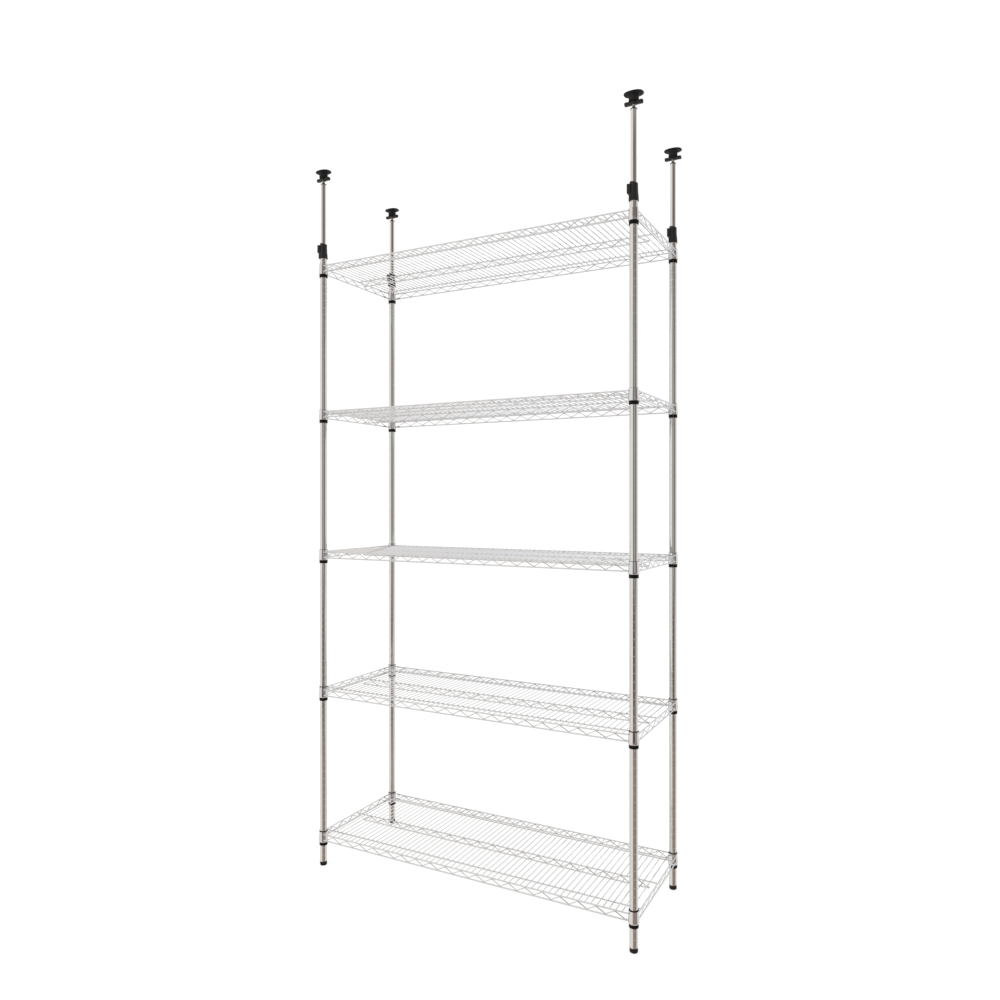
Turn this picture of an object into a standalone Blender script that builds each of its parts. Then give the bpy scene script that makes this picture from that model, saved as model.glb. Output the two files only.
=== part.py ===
"""Wire shelving unit braced between floor and ceiling, built as separate pieces.

Metres, +Z up. X runs along the width, Y from front to back, the origin is on the floor under the middle.
"""

import math
from itertools import accumulate

import bmesh
import bpy
from mathutils import Vector

# Layout of the unit
POST_SPACING_X = 1.166
POST_SPACING_Y = 0.420
FIRST_SLEEVE_Z = 0.0786
SECOND_SHELF_RISE = 0.522
THIRD_SHELF_RISE = 0.4965
FOURTH_SHELF_RISE = 0.5065
FIFTH_SHELF_RISE = 0.5255
CORNERS = (("fl", -1, -1), ("fr", 1, -1), ("bl", -1, 1), ("br", 1, 1))

# Meshing and fits
ROUND_SIDES = 12
PIN_SIDES = 8
LUG_STEPS = 6
BOSS_STEPS = 4
FIT_GAP = 0.0003
SHARP_ANGLE = math.radians(40.0)

# Posts and levelling feet
POST_RADIUS = 0.0125
POST_WALL = 0.0012
POST_ABOVE_TOP_SLEEVE = 0.072
POST_END_WALL = 0.010
FOOT_HEIGHT = 0.0143
FOOT_CHAMFER = 0.003
FOOT_STEM_RADIUS = 0.004
FOOT_STEM_LENGTH = 0.032

# Split sleeves and the tapered shelf collars that wedge on them
SLEEVE_BAND = 0.0105
SLEEVE_RISE = 0.002
SLEEVE_TOP_WALL = 0.0010
SLEEVE_TAPER = 0.0008
COLLAR_HEIGHT = 0.0375
COLLAR_BOTTOM_WALL = 0.0016
COLLAR_TOP_WALL = 0.0009

# Welded wire shelves
RIM_WIRE = 0.0045
RIM_SINK = 0.0035
RIM_END_INSET = 0.008
RIM_BELOW_COLLAR_TOP = 0.0072
TRUSS_HEIGHT = 0.0207
MAT_WIRE = 0.003
MAT_COUNT = 59
MAT_EDGE_SINK = 0.0015
MAT_EDGE_STOP = 0.006
MAT_WELD = 0.0015
INNER_WIRE = 0.004
INNER_WIRE_INSET = 0.038
INNER_WELD = 0.0004
CENTRE_TRUSS_HEIGHT = 0.0204
CENTRE_WIRE_OVERHANG = 0.006
ZIGZAG_WIRE = 0.003
ZIGZAG_WELD = 0.002
ZIGZAG_PERIODS_X = 19
ZIGZAG_PERIODS_Y = 6
ZIGZAG_INSET_X = 0.0244
ZIGZAG_INSET_Y = 0.0336

# Clamp caps on the post tops
CLAMP_SKIRT = 0.011
CLAMP_BOTTOM_WALL = 0.0013
CLAMP_SHOULDER_WALL = 0.0010
CLAMP_SHOULDER_HEIGHT = 0.012
CLAMP_WAIST_WALL = 0.0031
CLAMP_TOP_WALL = 0.0026
CLAMP_CROWN = 0.0084
CLAMP_CHAMFER = 0.0015
SPIGOT_LENGTH = 0.040

# Clamp levers, each on an upright pin between two lugs
LEVER_STANDOFF = 0.0016
LEVER_PIN_Y = 0.0065
LEVER_PIN_RADIUS = 0.0014
LEVER_BOSS_RADIUS = 0.003
LEVER_THICKNESS = 0.0043
LEVER_REACH = 0.0195
LEVER_HEEL = 0.004
LEVER_CLEARANCE = 0.001
LEVER_HEIGHT = 0.028
LUG_HEIGHT = 0.005

# Telescopic tension tubes with a swaged and threaded upper end
TUBE_RADIUS = 0.0095
TUBE_WALL = 0.0012
TUBE_INSERTED = 0.244
TUBE_EXPOSED = 0.208
FLANGE_LIP = 0.00085
FLANGE_HEIGHT = 0.0025
CONE_WALL = 0.0008
CONE_HEIGHT = 0.003
THREAD_DEPTH = 0.030

# Jack screws, handles and ceiling pads
SCREW_RADIUS = 0.005
SCREW_INSERTED = 0.0575
SCREW_EXPOSED = 0.0125
SCREW_IN_HUB = 0.015
HANDLE_THICKNESS = 0.008
HANDLE_LENGTH = 0.056
HANDLE_WIDTH = 0.012
HANDLE_CHAMFER = 0.002
HANDLE_BOSS_BULGE = 0.003
HUB_WALL = 0.0089
HUB_HEIGHT = 0.0175
PAD_FLARE_X = 0.0158
PAD_FLARE_Y = 0.0073
PAD_FLARE_HEIGHT = 0.003
PAD_RIM = 0.003
PAD_EDGE = 0.001

# Finishes: linear base colour, metallic, roughness
FINISHES = {
    "chrome_plate": ((0.78, 0.78, 0.77, 1.0), 1.0, 0.12),
    "zinc_plate": ((0.62, 0.61, 0.58, 1.0), 1.0, 0.28),
    "black_nylon": ((0.018, 0.018, 0.019, 1.0), 0.0, 0.45),
    "black_rubber": ((0.012, 0.012, 0.012, 1.0), 0.0, 0.70),
}

# Heights of the sleeve bands above the floor, then heights measured from the middle of such a band
LEVELS = list(accumulate(
    (FIRST_SLEEVE_Z, SECOND_SHELF_RISE, THIRD_SHELF_RISE, FOURTH_SHELF_RISE, FIFTH_SHELF_RISE)))
COLLAR_BOTTOM = SLEEVE_BAND / 2
COLLAR_TOP = COLLAR_BOTTOM + COLLAR_HEIGHT
SLEEVE_BOTTOM = -SLEEVE_BAND / 2
SLEEVE_TOP = COLLAR_TOP + SLEEVE_RISE
RIM_TOP = COLLAR_TOP - RIM_BELOW_COLLAR_TOP
RIM_BOTTOM = RIM_TOP - TRUSS_HEIGHT
INNER_TOP = RIM_TOP - RIM_WIRE / 2 + INNER_WELD
MAT_BOTTOM = INNER_TOP + FIT_GAP

# Radii that follow from what a piece fits on
SLEEVE_BORE = POST_RADIUS + FIT_GAP
SLEEVE_TOP_RADIUS = SLEEVE_BORE + SLEEVE_TOP_WALL
SLEEVE_BOTTOM_RADIUS = SLEEVE_TOP_RADIUS + SLEEVE_TAPER
COLLAR_TOP_RADIUS = SLEEVE_TOP_RADIUS + FIT_GAP + COLLAR_TOP_WALL
COLLAR_BOTTOM_RADIUS = SLEEVE_BOTTOM_RADIUS + FIT_GAP + COLLAR_BOTTOM_WALL
TUBE_BORE = TUBE_RADIUS - TUBE_WALL
CLAMP_BORE = TUBE_RADIUS + FIT_GAP
CLAMP_SKIRT_BORE = POST_RADIUS + FIT_GAP
CLAMP_WAIST_RADIUS = CLAMP_BORE + CLAMP_WAIST_WALL
CLAMP_TOP_RADIUS = CLAMP_BORE + CLAMP_TOP_WALL
SCREW_BORE = SCREW_RADIUS + FIT_GAP
HUB_RADIUS = SCREW_BORE + HUB_WALL

# Plan positions: shelf edges from the middle of the unit, the lever's pin from its post's axis
EDGE_X = POST_SPACING_X / 2 + COLLAR_TOP_RADIUS - RIM_SINK
EDGE_Y = POST_SPACING_Y / 2 + COLLAR_TOP_RADIUS - RIM_SINK
LEVER_PIN_X = -(CLAMP_WAIST_RADIUS + LEVER_STANDOFF)

# Heights above the floor, each resting on the one below it
POST_TOP_Z = LEVELS[-1] + POST_ABOVE_TOP_SLEEVE
CLAMP_BOTTOM_Z = POST_TOP_Z - CLAMP_SKIRT
CLAMP_SEAT_Z = POST_TOP_Z + FIT_GAP
CLAMP_WAIST_Z = POST_TOP_Z + CLAMP_SHOULDER_HEIGHT
LEVER_BOTTOM_Z = CLAMP_WAIST_Z + LEVER_CLEARANCE
LEVER_TOP_Z = LEVER_BOTTOM_Z + LEVER_HEIGHT
CLAMP_TOP_Z = LEVER_TOP_Z + CLAMP_CROWN
TUBE_BOTTOM_Z = POST_TOP_Z - TUBE_INSERTED
TUBE_TOP_Z = CLAMP_TOP_Z + TUBE_EXPOSED
FLANGE_TOP_Z = TUBE_TOP_Z + FLANGE_HEIGHT
CONE_TOP_Z = FLANGE_TOP_Z + CONE_HEIGHT
HANDLE_BOTTOM_Z = CONE_TOP_Z + SCREW_EXPOSED
HANDLE_TOP_Z = HANDLE_BOTTOM_Z + HANDLE_THICKNESS
HUB_BOTTOM_Z = HANDLE_TOP_Z + FIT_GAP
HUB_TOP_Z = HUB_BOTTOM_Z + HUB_HEIGHT
PAD_UNDER_Z = HUB_TOP_Z + PAD_FLARE_HEIGHT
PAD_TOP_Z = PAD_UNDER_Z + PAD_RIM
SCREW_BOTTOM_Z = CONE_TOP_Z - SCREW_INSERTED
SCREW_TOP_Z = HUB_BOTTOM_Z + SCREW_IN_HUB


def ring(radius_x, radius_y, height, sides):
    """Return the points of a level ellipse."""
    step = 2 * math.pi / sides
    return [
        Vector((radius_x * math.cos(i * step), radius_y * math.sin(i * step), height))
        for i in range(sides)
    ]


def mesh_from(name, bm):
    """Turn a bmesh into a mesh whose faces all look outwards."""
    bmesh.ops.recalc_face_normals(bm, faces=bm.faces)
    mesh = bpy.data.meshes.new(name)
    bm.to_mesh(mesh)
    bm.free()
    return mesh


def add_loft(bm, rings, hollow):
    """Skin a row of rings; a hollow one closes on itself, a solid one gets end caps."""
    rows = [[bm.verts.new(point) for point in points] for points in rings]
    pairs = list(zip(rows, rows[1:]))
    if hollow:
        pairs.append((rows[-1], rows[0]))
    else:
        bm.faces.new(rows[0])
        bm.faces.new(rows[-1])
    for lower, upper in pairs:
        for i in range(len(lower)):
            j = (i + 1) % len(lower)
            bm.faces.new((lower[i], lower[j], upper[j], upper[i]))


def turned(name, profile, hollow, sides=ROUND_SIDES):
    """Make a round piece from (radius, height) pairs."""
    bm = bmesh.new()
    add_loft(bm, [ring(radius, radius, height, sides) for radius, height in profile], hollow)
    return mesh_from(name, bm)


def prism(name, outline, bottom, top):
    """Make an upright prism from a flat outline."""
    bm = bmesh.new()
    rings = [[Vector((x, y, z)) for x, y in outline] for z in (bottom, top)]
    add_loft(bm, rings, False)
    return mesh_from(name, bm)


def add_bar(bm, section_a, section_b):
    """Add one straight bar between two end sections."""
    add_loft(bm, [section_a, section_b], False)


def bar_x(bm, x_from, x_to, y, z, size):
    """Add a square bar along X."""
    half = size / 2
    corners = ((-half, -half), (half, -half), (half, half), (-half, half))
    ends = [[Vector((x, y + dy, z + dz)) for dy, dz in corners] for x in (x_from, x_to)]
    add_bar(bm, *ends)


def bar_y(bm, y_from, y_to, x, z, size):
    """Add a square bar along Y."""
    half = size / 2
    corners = ((-half, -half), (half, -half), (half, half), (-half, half))
    ends = [[Vector((x + dx, y, z + dz)) for dx, dz in corners] for y in (y_from, y_to)]
    add_bar(bm, *ends)


def mat_bar(bm, x, y_end):
    """Add one mat wire along Y: flat on top, an edge below."""
    half = MAT_WIRE / 2
    corners = ((-half, MAT_WIRE), (0.0, 0.0), (half, MAT_WIRE))
    ends = [[Vector((x + dx, y, MAT_BOTTOM + dz)) for dx, dz in corners] for y in (-y_end, y_end)]
    add_bar(bm, *ends)


def add_zigzag(bm, half_span, periods, low_face, high_face, welds, place):
    """Add one bent wire that starts and ends low; welded bends sink into the wire they meet."""
    count = 2 * periods + 1
    half = ZIGZAG_WIRE / 2
    sections = []
    for i in range(count):
        along = -half_span + 2 * half_span * i / (count - 1)
        sink = ZIGZAG_WELD if i in welds else -FIT_GAP
        high = i % 2 == 1
        level = high_face + sink - half if high else low_face - sink + half
        corners = ((-half, level - half), (-half, level + half), (half, level))
        sections.append([place(along, side, height) for side, height in corners])
    add_loft(bm, sections, False)


def temporary(name, mesh):
    """Link a working object that a Boolean can read."""
    item = bpy.data.objects.new(name, mesh)
    bpy.context.scene.collection.objects.link(item)
    return item


def combine(name, base, steps):
    """Apply Booleans to a mesh in order and return the resulting mesh."""
    target = temporary(name + "_base", base)
    tools = []
    for operation, mesh in steps:
        tool = temporary(name + "_tool", mesh)
        modifier = target.modifiers.new(operation.lower(), "BOOLEAN")
        modifier.operation = operation
        modifier.solver = "EXACT"
        modifier.object = tool
        tools.append(tool)
    bpy.context.view_layer.update()
    evaluated = target.evaluated_get(bpy.context.evaluated_depsgraph_get())
    result = bpy.data.meshes.new_from_object(evaluated)
    result.name = name
    for item in (target, *tools):
        bpy.data.objects.remove(item, do_unlink=True)
    return result


def finish_material(name):
    """Make the Principled material of one finish."""
    colour, metallic, roughness = FINISHES[name]
    material = bpy.data.materials.new(name)
    material.use_nodes = True
    shader = material.node_tree.nodes["Principled BSDF"]
    shader.inputs["Base Color"].default_value = colour
    shader.inputs["Metallic"].default_value = metallic
    shader.inputs["Roughness"].default_value = roughness
    material.diffuse_color = colour
    return material


def place_node(name, mesh, material, location):
    """Add one finished piece to the scene."""
    if not mesh.materials:
        mesh.materials.append(material)
        mesh.shade_smooth()
        mesh.set_sharp_from_angle(angle=SHARP_ANGLE)
    item = bpy.data.objects.new(name, mesh)
    item.location = location
    bpy.context.scene.collection.objects.link(item)


def sleeve_radius(height):
    """Return the sleeve's outer radius at a height above the middle of its band."""
    share = (height - SLEEVE_BOTTOM) / (SLEEVE_TOP - SLEEVE_BOTTOM)
    return SLEEVE_BOTTOM_RADIUS + share * (SLEEVE_TOP_RADIUS - SLEEVE_BOTTOM_RADIUS)


def post_mesh():
    """Make a tubular post whose lower end wall takes the foot's stem."""
    bottom = FOOT_HEIGHT + FIT_GAP
    bore = FOOT_STEM_RADIUS + FIT_GAP
    inside = POST_RADIUS - POST_WALL
    return turned("post", (
        (POST_RADIUS, bottom),
        (POST_RADIUS, POST_TOP_Z),
        (inside, POST_TOP_Z),
        (inside, bottom + POST_END_WALL),
        (bore, bottom + POST_END_WALL),
        (bore, bottom),
    ), True)


def foot_mesh():
    """Make a levelling foot with its stem."""
    return turned("levelling_foot", (
        (POST_RADIUS - FOOT_CHAMFER, 0.0),
        (POST_RADIUS, FOOT_CHAMFER),
        (POST_RADIUS, FOOT_HEIGHT),
        (FOOT_STEM_RADIUS, FOOT_HEIGHT),
        (FOOT_STEM_RADIUS, FOOT_HEIGHT + FOOT_STEM_LENGTH),
    ), False)


def sleeve_mesh():
    """Make a tapered sleeve around a post."""
    return turned("sleeve", (
        (SLEEVE_BOTTOM_RADIUS, SLEEVE_BOTTOM),
        (SLEEVE_TOP_RADIUS, SLEEVE_TOP),
        (SLEEVE_BORE, SLEEVE_TOP),
        (SLEEVE_BORE, SLEEVE_BOTTOM),
    ), True)


def collar_solids(name, bottom, top, overrun):
    """Make the four corner cones of a shelf, each from (radius, height) pairs, as one mesh."""
    bm = bmesh.new()
    for _, side_x, side_y in CORNERS:
        centre = Vector((side_x * POST_SPACING_X / 2, side_y * POST_SPACING_Y / 2, 0.0))
        rings = []
        for radius, height in ((bottom, COLLAR_BOTTOM - overrun), (top, COLLAR_TOP + overrun)):
            rings.append([point + centre for point in ring(radius, radius, height, ROUND_SIDES)])
        add_loft(bm, rings, False)
    return mesh_from(name, bm)


def rim_bars():
    """Make the upper and lower rim wires of all four sides."""
    bm = bmesh.new()
    reach_x = POST_SPACING_X / 2 - RIM_END_INSET
    reach_y = POST_SPACING_Y / 2 - RIM_END_INSET
    for height in (RIM_BOTTOM, RIM_TOP):
        for side in (-1, 1):
            bar_x(bm, -reach_x, reach_x, side * EDGE_Y, height, RIM_WIRE)
            bar_y(bm, -reach_y, reach_y, side * EDGE_X, height, RIM_WIRE)
    return mesh_from("rims", bm)


def mat_bars():
    """Make the mat wires; the outermost two end at the collars, the others in the rims."""
    bm = bmesh.new()
    half_span = POST_SPACING_X / 2 - COLLAR_TOP_RADIUS + MAT_EDGE_SINK
    rim_face = EDGE_Y - RIM_WIRE / 2
    for i in range(MAT_COUNT):
        x = -half_span + 2 * half_span * i / (MAT_COUNT - 1)
        outermost = i in (0, MAT_COUNT - 1)
        y_end = POST_SPACING_Y / 2 - MAT_EDGE_STOP if outermost else rim_face + MAT_WELD
        mat_bar(bm, x, y_end)
    return mesh_from("mat", bm)


def inner_bars():
    """Make the three long wires under the mat and the lower wire of the centre truss."""
    bm = bmesh.new()
    height = INNER_TOP - INNER_WIRE / 2
    inner_y = POST_SPACING_Y / 2 - INNER_WIRE_INSET
    for y in (-inner_y, 0.0, inner_y):
        bar_x(bm, -EDGE_X, EDGE_X, y, height, INNER_WIRE)
    reach = POST_SPACING_X / 2 - ZIGZAG_INSET_X + CENTRE_WIRE_OVERHANG
    bar_x(bm, -reach, reach, 0.0, height - CENTRE_TRUSS_HEIGHT, INNER_WIRE)
    return mesh_from("inner", bm)


def zigzag_bars():
    """Make the bent wires of the four outer trusses and of the centre truss."""
    bm = bmesh.new()
    span_x = POST_SPACING_X / 2 - ZIGZAG_INSET_X
    span_y = POST_SPACING_Y / 2 - ZIGZAG_INSET_Y
    low = RIM_BOTTOM + RIM_WIRE / 2
    high = RIM_TOP - RIM_WIRE / 2
    last_x = 2 * ZIGZAG_PERIODS_X
    last_y = 2 * ZIGZAG_PERIODS_Y
    for side in (-1, 1):
        add_zigzag(bm, span_x, ZIGZAG_PERIODS_X, low, high, (0, last_x),
                   lambda along, across, z: Vector((along, side * EDGE_Y + across, z)))
        add_zigzag(bm, span_y, ZIGZAG_PERIODS_Y, low, high, (0, last_y),
                   lambda along, across, z: Vector((side * EDGE_X + across, along, z)))
    centre_high = INNER_TOP - INNER_WIRE
    centre_low = INNER_TOP - CENTRE_TRUSS_HEIGHT
    add_zigzag(bm, span_x, ZIGZAG_PERIODS_X, centre_low, centre_high, (0, 1, last_x - 1, last_x),
               lambda along, across, z: Vector((along, across, z)))
    return mesh_from("zigzags", bm)


def shelf_mesh():
    """Make one welded shelf: collars, rims, mat, inner wires and trusses as a single body."""
    bore_bottom = sleeve_radius(COLLAR_BOTTOM - FIT_GAP) + FIT_GAP
    bore_top = sleeve_radius(COLLAR_TOP + FIT_GAP) + FIT_GAP
    return combine("shelf", collar_solids("collars", COLLAR_BOTTOM_RADIUS, COLLAR_TOP_RADIUS, 0.0), (
        ("UNION", rim_bars()),
        ("UNION", inner_bars()),
        ("UNION", mat_bars()),
        ("UNION", zigzag_bars()),
        ("DIFFERENCE", collar_solids("bores", bore_bottom, bore_top, FIT_GAP)),
    ))


def tube_mesh():
    """Make a tension tube with its flanged, coned and threaded upper end."""
    flange = TUBE_RADIUS + FLANGE_LIP
    thread_bottom = CONE_TOP_Z - THREAD_DEPTH
    return turned("tension_tube", (
        (TUBE_RADIUS, TUBE_BOTTOM_Z),
        (TUBE_RADIUS, TUBE_TOP_Z),
        (flange, TUBE_TOP_Z),
        (flange, FLANGE_TOP_Z),
        (SCREW_BORE + CONE_WALL, CONE_TOP_Z),
        (SCREW_BORE, CONE_TOP_Z),
        (SCREW_BORE, thread_bottom),
        (TUBE_BORE, thread_bottom),
        (TUBE_BORE, TUBE_BOTTOM_Z),
    ), True)


def lug_mesh(bottom):
    """Make one lug that carries an end of the lever's pin."""
    outline = []
    for i in range(LUG_STEPS + 1):
        angle = math.pi / 2 + math.pi * i / LUG_STEPS
        outline.append((LEVER_PIN_X + LEVER_BOSS_RADIUS * math.cos(angle),
                        LEVER_PIN_Y + LEVER_BOSS_RADIUS * math.sin(angle)))
    root = CLAMP_BORE + CLAMP_WAIST_WALL / 2
    for side in (-1, 1):
        angle = math.atan2(LEVER_PIN_Y + side * LEVER_BOSS_RADIUS, LEVER_PIN_X)
        outline.append((root * math.cos(angle), root * math.sin(angle)))
    return prism("lug", outline, bottom, bottom + LUG_HEIGHT)


def pin_mesh(radius, bottom, top):
    """Make an upright pin on the lever's axis."""
    points = ring(radius, radius, 0.0, PIN_SIDES)
    outline = [(LEVER_PIN_X + point.x, LEVER_PIN_Y + point.y) for point in points]
    return prism("pin", outline, bottom, top)


def clamp_mesh():
    """Make a clamp cap: skirt over the post, spigot in it, bore for the tube, lugs for the lever."""
    spigot = POST_RADIUS - POST_WALL - FIT_GAP
    spigot_bottom = CLAMP_SEAT_Z - SPIGOT_LENGTH
    body = turned("clamp_body", (
        (CLAMP_SKIRT_BORE + CLAMP_BOTTOM_WALL, CLAMP_BOTTOM_Z),
        (CLAMP_SKIRT_BORE + CLAMP_SHOULDER_WALL, CLAMP_SEAT_Z),
        (CLAMP_WAIST_RADIUS, CLAMP_WAIST_Z),
        (CLAMP_TOP_RADIUS, CLAMP_TOP_Z - CLAMP_CHAMFER),
        (CLAMP_TOP_RADIUS - CLAMP_CHAMFER, CLAMP_TOP_Z),
        (CLAMP_BORE, CLAMP_TOP_Z),
        (CLAMP_BORE, spigot_bottom),
        (spigot, spigot_bottom),
        (spigot, CLAMP_SEAT_Z),
        (CLAMP_SKIRT_BORE, CLAMP_SEAT_Z),
        (CLAMP_SKIRT_BORE, CLAMP_BOTTOM_Z),
    ), True)
    hole = LEVER_PIN_RADIUS + FIT_GAP
    return combine("clamp_body", body, (
        ("UNION", lug_mesh(LEVER_BOTTOM_Z)),
        ("UNION", lug_mesh(LEVER_TOP_Z - LUG_HEIGHT)),
        ("DIFFERENCE", pin_mesh(hole, LEVER_BOTTOM_Z - FIT_GAP, LEVER_TOP_Z + FIT_GAP)),
    ))


def lever_mesh():
    """Make a clamp lever: plate, boss between the lugs and pin, about the pin's axis."""
    boss_bottom = LEVER_BOTTOM_Z + LUG_HEIGHT + FIT_GAP
    boss_top = LEVER_TOP_Z - LUG_HEIGHT - FIT_GAP
    outside = LEVER_PIN_X - LEVER_BOSS_RADIUS
    inside = outside + LEVER_THICKNESS
    tip = LEVER_PIN_Y - LEVER_REACH
    heel = LEVER_PIN_Y - LEVER_HEEL
    plate = ((outside, tip), (inside, tip), (inside, heel), (outside, heel))
    boss = []
    for i in range(LUG_STEPS + 1):
        angle = math.pi * i / LUG_STEPS
        boss.append((LEVER_PIN_X + LEVER_BOSS_RADIUS * math.cos(angle),
                     LEVER_PIN_Y + LEVER_BOSS_RADIUS * math.sin(angle)))
    neck = heel - LEVER_THICKNESS / 2
    boss.append((outside + FIT_GAP, neck))
    boss.append((inside - FIT_GAP, neck))
    mesh = combine("clamp_lever", prism("plate", plate, LEVER_BOTTOM_Z, LEVER_TOP_Z), (
        ("UNION", prism("boss", boss, boss_bottom, boss_top)),
        ("UNION", pin_mesh(LEVER_PIN_RADIUS, LEVER_BOTTOM_Z + FIT_GAP, LEVER_TOP_Z - FIT_GAP)),
    ))
    for vertex in mesh.vertices:
        vertex.co -= Vector((LEVER_PIN_X, LEVER_PIN_Y, 0.0))
    return mesh


def screw_mesh():
    """Make the plain core of a jack screw."""
    return turned("jack_screw", ((SCREW_RADIUS, SCREW_BOTTOM_Z), (SCREW_RADIUS, SCREW_TOP_Z)), False)


def handle_mesh():
    """Make a cross handle with a round boss on the screw."""
    length = HANDLE_LENGTH / 2
    width = HANDLE_WIDTH / 2
    boss = width + HANDLE_BOSS_BULGE
    lead_in = math.asin(width / boss)
    half = []
    half.append((length, -width + HANDLE_CHAMFER))
    half.append((length, width - HANDLE_CHAMFER))
    half.append((length - HANDLE_CHAMFER, width))
    for i in range(BOSS_STEPS + 1):
        angle = lead_in + (math.pi - 2 * lead_in) * i / BOSS_STEPS
        half.append((boss * math.cos(angle), boss * math.sin(angle)))
    half.append((HANDLE_CHAMFER - length, width))
    outline = half + [(-x, -y) for x, y in half]
    hole = ((SCREW_BORE, HANDLE_BOTTOM_Z - FIT_GAP), (SCREW_BORE, HANDLE_TOP_Z + FIT_GAP))
    return combine("jack_handle", prism("bar", outline, HANDLE_BOTTOM_Z, HANDLE_TOP_Z), (
        ("DIFFERENCE", turned("bore", hole, False)),
    ))


def pad_mesh():
    """Make a ceiling pad: round hub with a blind bore, flaring into an oval plate."""
    reach_x = HUB_RADIUS + PAD_FLARE_X
    reach_y = HUB_RADIUS + PAD_FLARE_Y
    rows = (
        (SCREW_BORE, SCREW_BORE, SCREW_TOP_Z + FIT_GAP),
        (SCREW_BORE, SCREW_BORE, HUB_BOTTOM_Z),
        (HUB_RADIUS, HUB_RADIUS, HUB_BOTTOM_Z),
        (HUB_RADIUS, HUB_RADIUS, HUB_TOP_Z),
        (reach_x - PAD_EDGE, reach_y - PAD_EDGE, PAD_UNDER_Z),
        (reach_x, reach_y, PAD_UNDER_Z + PAD_EDGE),
        (reach_x, reach_y, PAD_TOP_Z - PAD_EDGE),
        (reach_x - PAD_EDGE, reach_y - PAD_EDGE, PAD_TOP_Z),
    )
    bm = bmesh.new()
    add_loft(bm, [ring(*row, ROUND_SIDES) for row in rows], False)
    return mesh_from("ceiling_pad", bm)


def main():
    """Clear the scene and place every piece."""
    for item in list(bpy.data.objects):
        bpy.data.objects.remove(item, do_unlink=True)
    materials = {name: finish_material(name) for name in FINISHES}
    kinds = (
        ("post", post_mesh(), "chrome_plate"),
        ("levelling_foot", foot_mesh(), "black_rubber"),
        ("tension_tube", tube_mesh(), "chrome_plate"),
        ("clamp_body", clamp_mesh(), "black_nylon"),
        ("jack_screw", screw_mesh(), "zinc_plate"),
        ("jack_handle", handle_mesh(), "black_nylon"),
        ("ceiling_pad", pad_mesh(), "black_rubber"),
    )
    lever = lever_mesh()
    sleeve = sleeve_mesh()
    shelf = shelf_mesh()
    for number, level in enumerate(LEVELS, start=1):
        place_node(f"shelf_{number}", shelf, materials["chrome_plate"], (0.0, 0.0, level))
    for corner, side_x, side_y in CORNERS:
        x = side_x * POST_SPACING_X / 2
        y = side_y * POST_SPACING_Y / 2
        for kind, mesh, finish in kinds:
            place_node(f"{kind}_{corner}", mesh, materials[finish], (x, y, 0.0))
        pin = (x + LEVER_PIN_X, y + LEVER_PIN_Y, 0.0)
        place_node(f"clamp_lever_{corner}", lever, materials["black_nylon"], pin)
        for number, level in enumerate(LEVELS, start=1):
            place_node(f"sleeve_{corner}_{number}", sleeve, materials["black_nylon"], (x, y, level))


main()
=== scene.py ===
"""Looks of a wire shelving unit that is braced between floor and ceiling.

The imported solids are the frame. Every visible piece is built here in the place of its solid, in metres,
with +X along the width, +Y from front to back and +Z up.
"""

import logging
import math
from dataclasses import dataclass, field
from enum import Enum
from itertools import product
from typing import Optional, Sequence, Union

import bmesh
import bpy
from mathutils import Matrix, Vector


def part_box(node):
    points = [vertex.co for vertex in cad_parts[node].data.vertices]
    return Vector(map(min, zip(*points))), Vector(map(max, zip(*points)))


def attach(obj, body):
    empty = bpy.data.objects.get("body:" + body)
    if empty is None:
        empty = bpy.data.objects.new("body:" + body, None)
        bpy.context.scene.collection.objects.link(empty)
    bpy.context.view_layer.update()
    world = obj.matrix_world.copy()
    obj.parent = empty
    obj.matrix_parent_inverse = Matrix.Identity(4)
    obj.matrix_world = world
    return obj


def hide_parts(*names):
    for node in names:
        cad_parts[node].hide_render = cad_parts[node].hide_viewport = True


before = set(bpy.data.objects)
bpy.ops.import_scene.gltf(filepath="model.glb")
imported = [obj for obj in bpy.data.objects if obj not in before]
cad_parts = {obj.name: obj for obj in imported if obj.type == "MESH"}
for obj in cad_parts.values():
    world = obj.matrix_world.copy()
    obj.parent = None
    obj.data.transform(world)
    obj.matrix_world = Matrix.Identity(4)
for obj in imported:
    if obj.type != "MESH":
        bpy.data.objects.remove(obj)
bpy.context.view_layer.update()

LOG = logging.getLogger("wire_shelving")
MM = 0.001
TURN = 2 * math.pi
RIGHT_ANGLE = math.pi / 2
UP = Vector((0, 0, 1))
ALONG_X = Vector((1, 0, 0))
ALONG_Y = Vector((0, 1, 0))
ORIGIN = (0.0, 0.0)
SIDES = (-1, 1)
SHELVES = range(1, 6)
WHITE = "#ffffff"

# A wire's rounded end: distances from its tip and radii, as shares of the wire's radius.
WIRE_NOSE = ((0.05, 0.32), (0.3, 0.72), (0.65, 0.94), (1.0, 1.0))
# Tilts, in degrees, of the rings round a weld bead and over a slab's edge.
BEAD_TILTS = (-72, -38, 0, 38, 72)
EDGE_TILTS = (0, 30, 60, 90)
# Rows of points along one turn of a thread, and where its flank begins and how wide it is, in half pitches.
THREAD_ROWS = 6
FLANK_START = 0.2
FLANK_WIDTH = 0.6
# Edges above these angles, in degrees, stay crisp.
CREASE = 38.0
THREAD_CREASE = 60.0

Point = tuple[float, float]
Row = tuple[float, float, float]
Drawing = tuple[Point, ...]
Stops = Sequence[tuple[float, str]]
Socket = bpy.types.NodeSocket
Tree = bpy.types.NodeTree
Input = Union[Socket, float, tuple[float, ...]]


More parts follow.
